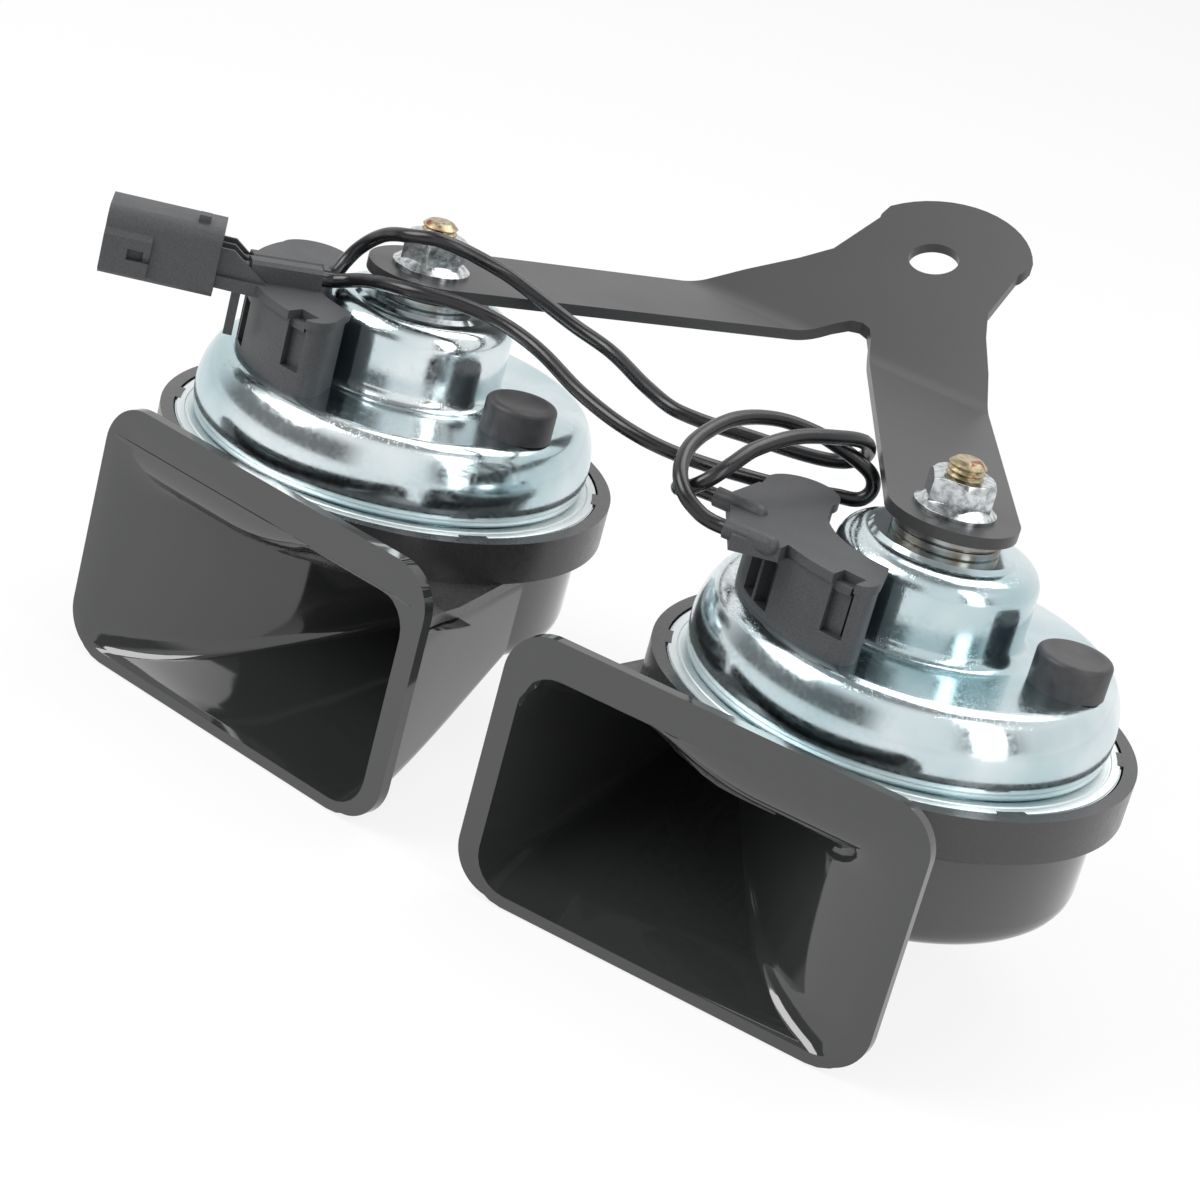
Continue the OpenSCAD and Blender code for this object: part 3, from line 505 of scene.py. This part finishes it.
# Bright zinc: mirror-like with a cyan tinge that comes and goes, and drawn bends that are pitted
tinge = noise(tree, where, 35.7, 3)
grain = noise(tree, where, 1.11, 3)
pits = add_node(tree, "ShaderNodeTexVoronoi", {"Vector": where, "Scale": 1000 / 0.476})
deep = spread(tree, pits.outputs["Distance"], 0, 1, 0, 0.35)
uneven = spread(tree, noise(tree, where, 11.1), 0.08, 0.4, 0.35, 0.65)
drawn = add_node(tree, "ShaderNodeAttribute", attribute_name="drawn").outputs["Fac"]
set_inputs(tree, shader, {
    "Metallic": 1,
    "Base Color": ramp(tree, tinge, [(0.35, "#b3cacf"), (0.65, "#e0e8ea")]),
    "Roughness": spread(tree, grain, 0.1, 0.22, 0.3, 0.7),
    "Normal": bump(tree, deep, combine(tree, "MULTIPLY", uneven, drawn), 0.12),
})


def arc(centre, radius, start, stop, steps):
    """Points of an arc, as radius and height."""
    angles = [math.radians(start + (stop - start) * i / steps) for i in range(steps + 1)]
    return [(centre[0] + radius * math.cos(a), centre[1] + radius * math.sin(a)) for a in angles]


def spun(profile, side, steps, closed=True, at=(0, 0, 0), bends=()):
    """A form turned about a horn's axis, or a line beside it, with its drawn bends marked."""
    bm = bmesh.new()
    drawn = bm.verts.layers.float.new("drawn")
    verts = [bm.verts.new((r / 1000, 0, z / 1000)) for r, z in profile]
    for i in bends:
        verts[i][drawn] = 1
    pairs = list(zip(verts, verts[1:])) + ([(verts[-1], verts[0])] if closed else [])
    edges = [bm.edges.new(pair) for pair in pairs]
    bmesh.ops.spin(
        bm, geom=verts + edges, cent=(0, 0, 0), axis=(0, 0, 1), angle=2 * math.pi, steps=steps,
        use_merge=True,
    )
    bmesh.ops.remove_doubles(bm, verts=bm.verts, dist=1e-6)
    bmesh.ops.recalc_face_normals(bm, faces=bm.faces)
    bmesh.ops.translate(bm, verts=bm.verts, vec=Vector(at) / 1000)
    bmesh.ops.transform(bm, matrix=horn_place(side), verts=bm.verts)
    return bm


def cover_side(inset):
    """The cover's profile, so far inside its outer face: each point, and if it is on a bend."""
    side_r, soft_r, rest_r, top_r = 17.9, 4.4, 3, 5
    centre = (foot - 15.6, 6.2)
    soft_z = shoulder_top - soft_r
    lean = math.degrees(math.asin((soft_z - centre[1]) / (side_r - soft_r)))
    soft_x = centre[0] + (side_r - soft_r) * math.cos(math.radians(lean))
    cup_edge = cup_top - seat_up
    bead = [] if inset else [(47.3, -0.4), (47, -0.75), (46.3, -0.75), (46, -0.4)]
    parts = [
        (False, [(flange_out, flange_top - inset)] + bead),
        (True, [(foot - inset, flange_top - inset)]),
        (False, arc(centre, side_r - inset, -18, lean, 24)),
        (True, arc((soft_x, soft_z), soft_r - inset, lean + 4, 90, 12)),
        (True, arc((cup_out + rest_r, shoulder_top + rest_r), rest_r + inset, 270, 180, 10)),
        (False, [(cup_out - inset, shoulder_top + 4.2), (cup_out - inset, cup_top - 7.4)]),
        (True, arc((cup_out - top_r, cup_edge - top_r), top_r - inset, 0, 90, 12)),
        (False, [(seat_out + seat_up, cup_edge - inset), (seat_out, cup_top - inset)]),
        (False, [(stud_hole, cup_top - inset)]),
    ]
    return [(point, bent) for bent, points in parts for point in points]


outer, inner = cover_side(0), cover_side(skin)[::-1]
for side in ("low", "high"):
    profile = [point for point, bent in outer + inner]
    bends = [i for i, (point, bent) in enumerate(outer) if bent]
    bm = spun(profile, side, 160, bends=bends)
    settle(bm, side + "_drawn_cover", zinc, "zinc_cover", side + "_cover", crease=38)

# Crimp rings: a soft aluminium ring is rolled down over each cover's flange to seal it. It is
# pale and dull, with a groove from the roller and fine dents along it.
ring_in, ring_out, ring_low, ring_top = 43.7, 48.3, -0.5, -0.08
groove_at, groove_deep = 46.2, 0.22

rolled, tree, shader, where = new_material("rolled_soft_aluminium")
# Soft aluminium, rolled: pale and half dull, dented by the roller about every millimetre
rolls = noise(tree, where, 1.25, 3)
set_inputs(tree, shader, {
    "Metallic": 1,
    "Base Color": linear("#e6ebeb"),
    "Roughness": spread(tree, rolls, 0.36, 0.6),
    "Normal": bump(tree, rolls, 0.5, 0.1),
})

groove = [
    (groove_at + 0.4, ring_top), (groove_at + 0.2, ring_top - groove_deep),
    (groove_at - 0.2, ring_top - groove_deep), (groove_at - 0.4, ring_top),
]
for side in ("low", "high"):
    profile = (
        [(ring_in, ring_low), (ring_out, ring_low)]
        + [(ring_out, ring_top - 0.1), (ring_out - 0.2, ring_top)]
        + groove
        + [(ring_in + 0.5, ring_top), (ring_in, ring_top - 0.2)]
    )
    bm = spun(profile, side, 128)
    settle(bm, side + "_crimp_ring", rolled, "zinc_cover", crease=30)

# Adjuster caps: black rubber plugs pressed over the tone screws, once these are set, each
# with a rounded edge and a shallow dish in its top.
cap_out, cap_up, cap_along, cap_wall, cap_round = 8, 7.5, 33.6, 2, 1.2

rubber, tree, shader, where = new_material("moulded_epdm_rubber")
# EPDM: matt and dark grey where it is handled, with a bloom in patches of about 3 mm
bloom = noise(tree, where, 3.03, 4)
set_inputs(tree, shader, {
    "Base Color": ramp(tree, bloom, [(0.3, "#2e2e30"), (0.7, "#414143")]),
    "Roughness": spread(tree, bloom, 0.38, 0.6),
})

for side in ("low", "high"):
    profile = (
        [(cap_out - cap_wall, 0), (cap_out, 0), (cap_out, cap_up - cap_round)]
        + arc((cap_out - cap_round, cap_up - cap_round), cap_round, 15, 90, 5)
        + [(cap_out - 2.2, cap_up), (cap_out - 2.6, cap_up - 0.25), (0, cap_up - 0.35)]
        + [(0, cap_up - cap_wall), (cap_out - cap_wall, cap_up - cap_wall)]
    )
    bm = spun(profile, side, 64, at=(cap_along, 0, shoulder_top))
    settle(bm, side + "_rubber_cap", rubber, "cap", side + "_adjuster_cap", crease=45)

# Studs, washers and flange nuts: each pole core ends in a threaded stud, the bracket sits on
# plain washers over the cup, and a flange nut with a drop of thread lock holds it down.
stud_out, stud_tip, thread_pitch, thread_deep = 4, 54, 1.25, 0.55
seat_core, core_top, seat_thick, core_out, core_low = 14, 35.3, 3, 7, 14
washer_out, washer_up, washer_play, washer_edge = 11.5, 4, 0.25, 0.3
nut_edge = 0.15

passivated, tree, shader, where = new_material("yellow_passivated_steel")
# Yellow passivation over zinc, with red-brown thread lock caught in patches between the threads
smear = noise(tree, where, 2.38, 3)
set_inputs(tree, shader, {
    "Metallic": 1,
    "Base Color": ramp(tree, smear, [(0.38, "#978c70"), (0.52, "#bdb296"), (0.66, "#8a4c38")]),
    "Roughness": spread(tree, smear, 0.2, 0.5),
})

nut_zinc, tree, shader, where = new_material("zinc_plated_forging")
# Cold-forged and zinc-plated: bright but fine-grained, with scuffs from the socket
scuff = noise(tree, where, 1.43, 4)
set_inputs(tree, shader, {
    "Metallic": 1,
    "Base Color": ramp(tree, scuff, [(0.35, "#969b9e"), (0.6, "#d6dadb")]),
    "Roughness": spread(tree, scuff, 0.08, 0.26),
    "Normal": bump(tree, scuff, 0.3, 0.08),
})

washer_steel, tree, shader, where = new_material("zinc_plated_washer")
# Stamped washers with a thin plating: silver, darkened to brown in patches as painted shade from
# the bracket above them
brown_painted_shade = noise(tree, where, 8.33, 3)
set_inputs(tree, shader, {
    "Metallic": 1,
    # The brown stops are painted shade, not a film on the metal
    "Base Color": ramp(tree, brown_painted_shade, [(0.35, "#7d7061"), (0.6, "#a3abae")]),
    "Roughness": 0.24,
})

for side in ("low", "high"):
    threads = []
    top = stud_tip - 2 * thread_deep
    while top > cup_top + 2:
        threads += [(stud_out, top), (stud_out - thread_deep, top - thread_deep)]
        threads.append((stud_out, top - 2 * thread_deep))
        top -= thread_pitch
    profile = (
        [(0, stud_tip), (stud_out - 1.3, stud_tip), (stud_out - 1, stud_tip - 0.2)]
        + threads
        + [(stud_out, core_top), (seat_core, core_top), (seat_core, core_top - seat_thick)]
        + [(core_out, core_top - seat_thick), (core_out, core_low), (0, core_low)]
    )
    bm = spun(profile, side, 48, closed=False)
    settle(bm, side + "_threaded_core", passivated, "stud", side + "_core_stud", crease=25)

    # A pair of washers, each with a small chamfer, so that the seam between them shows
    half = washer_up / 2
    profile = [(stud_out + washer_play, cup_top)]
    for low in (cup_top, cup_top + half):
        high = low + half
        profile += [(washer_out - washer_edge, low), (washer_out, low + washer_edge)]
        profile += [(washer_out, high - washer_edge), (washer_out - washer_edge, high)]
    profile.append((stud_out + washer_play, cup_top + washer_up))
    bm = spun(profile, side, 64)
    settle(bm, side + "_washer_pair", washer_steel, "washer", side + "_washers")

    eased(side + "_nut", side + "_flange_nut", nut_edge, nut_zinc, "nut", crease=25)

# Plugs and connector: glass-filled nylon mouldings, matt, with soft edges and thin ribs. Each
# plug clips into its horn's cover, and the connector takes the vehicle's own plug.
moulded_edge = 0.35

nylon, tree, shader, where = new_material("glass_filled_nylon")
# Glass-filled nylon: dark grey and matt, with fibres that roughen it at about 0.3 mm
fibres = noise(tree, where, 0.333)
set_inputs(tree, shader, {
    "Base Color": ramp(tree, fibres, [(0.3, "#363739"), (0.7, "#48494b")]),
    "Roughness": spread(tree, noise(tree, where, 8.33), 0.4, 0.58),
    "Normal": bump(tree, fibres, 0.15, 0.05),
})

# Each plug's latch and rounded end, as degrees about the horn's axis in the solid and here
latch_turns = {
    "low": [(240, 240), (260.5, 264.5), (270.5, 272.8), (282, 279.6)],
    "high": [(240, 240), (260.5, 260), (270.5, 268), (282, 274)],
}


def turn_latch(bm, side):
    """Brings the latch round to the plug's end, where the thumb presses it."""
    stops = latch_turns[side]
    for vert in bm.verts:
        reach = math.hypot(vert.co.x, vert.co.y)
        angle = math.degrees(math.atan2(vert.co.y, vert.co.x)) % 360
        for (a, to_a), (b, to_b) in zip(stops, stops[1:]):
            if a < angle <= b:
                turned_to = math.radians(to_a + (to_b - to_a) * (angle - a) / (b - a))
                vert.co.x = reach * math.cos(turned_to)
                vert.co.y = reach * math.sin(turned_to)
                break


eased("low_plug", "low_plug_housing", moulded_edge, nylon, "plug", shaped=turn_latch)
eased("high_plug", "high_plug_housing", moulded_edge, nylon, "plug", shaped=turn_latch)
eased("connector", "connector_housing", moulded_edge, nylon, "connector")

# Inside the horns: the pieces that make the sound. They show only when a horn is taken apart,
# and keep the solids' own shape.
wave_step = math.pi / 10  # the width of a wave texture's bands at a scale of 1

steel, tree, shader, where = new_material("cold_rolled_steel")
# Cold-rolled steel: grey, with rolling marks about 0.5 mm apart
set_inputs(tree, shader, {
    "Metallic": 1,
    "Base Color": linear("#b1b5b8"),
    "Roughness": spread(tree, noise(tree, where, 0.5), 0.25, 0.45),
})

spring, tree, shader, where = new_material("blued_spring_steel")
# Hardened strip: darker and smoother, with a faint blue from tempering
temper = noise(tree, where, 25)
set_inputs(tree, shader, {
    "Metallic": 1,
    "Base Color": ramp(tree, temper, [(0.3, "#8f959b"), (0.7, "#a7a9aa")]),
    "Roughness": 0.28,
})


def bands(tree, where, size, distortion):
    """Level bands, so many mm apart."""
    return add_node(
        tree,
        "ShaderNodeTexWave",
        {"Vector": where, "Scale": wave_step * 1000 / size, "Distortion": distortion},
        bands_direction="Z",
    ).outputs["Fac"]


copper, tree, shader, where = new_material("enamelled_copper_winding")
# Turns of enamelled wire, drawn as bands about 6 mm apart so that they show
turns = bands(tree, where, 6.28, 0.5)
set_inputs(tree, shader, {
    "Metallic": 1,
    "Base Color": ramp(tree, turns, [(0, "#7c3d1a"), (1, "#bf6f38")]),
    "Roughness": 0.3,
    "Normal": bump(tree, turns, 0.6, 0.2),
})

natural, tree, shader, where = new_material("natural_nylon_bobbin")
# Unfilled nylon: ivory and slightly waxy, a little uneven in colour
ivory = noise(tree, where, 6.67)
set_inputs(tree, shader, {
    "Base Color": ramp(tree, ivory, [(0.3, "#d2cbb8"), (0.7, "#e0dbcb")]),
    "Roughness": 0.42,
})

phenolic, tree, shader, where = new_material("phenolic_laminate")
# Phenolic laminate: dark brown, in uneven layers about 3 mm apart
layers = bands(tree, where, 3.14, 2)
set_inputs(tree, shader, {
    "Base Color": ramp(tree, layers, [(0, "#2b1d13"), (1, "#4a3220")]),
    "Roughness": 0.5,
})

brass, tree, shader, where = new_material("tinned_brass_strip")
# Stamped brass, thinly tinned: pale yellow where the tin has worn
worn = noise(tree, where, 2.5, 3)
set_inputs(tree, shader, {
    "Metallic": 1,
    "Base Color": ramp(tree, worn, [(0.3, "#c9a55a"), (0.7, "#cfc7b4")]),
    "Roughness": 0.3,
})

finishes = {
    "steel": steel,
    "spring_steel": spring,
    "bobbin": natural,
    "copper": copper,
    "insulator": phenolic,
    "terminal": brass,
    "screw": steel,
}
slots = {part["node"]: part["material_slot"] for part in frame["record"]["subparts"]}
for name, node in nodes.items():
    if slots[name] in finishes:
        for holder in node.material_slots:
            holder.material = finishes[slots[name]]

low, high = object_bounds()
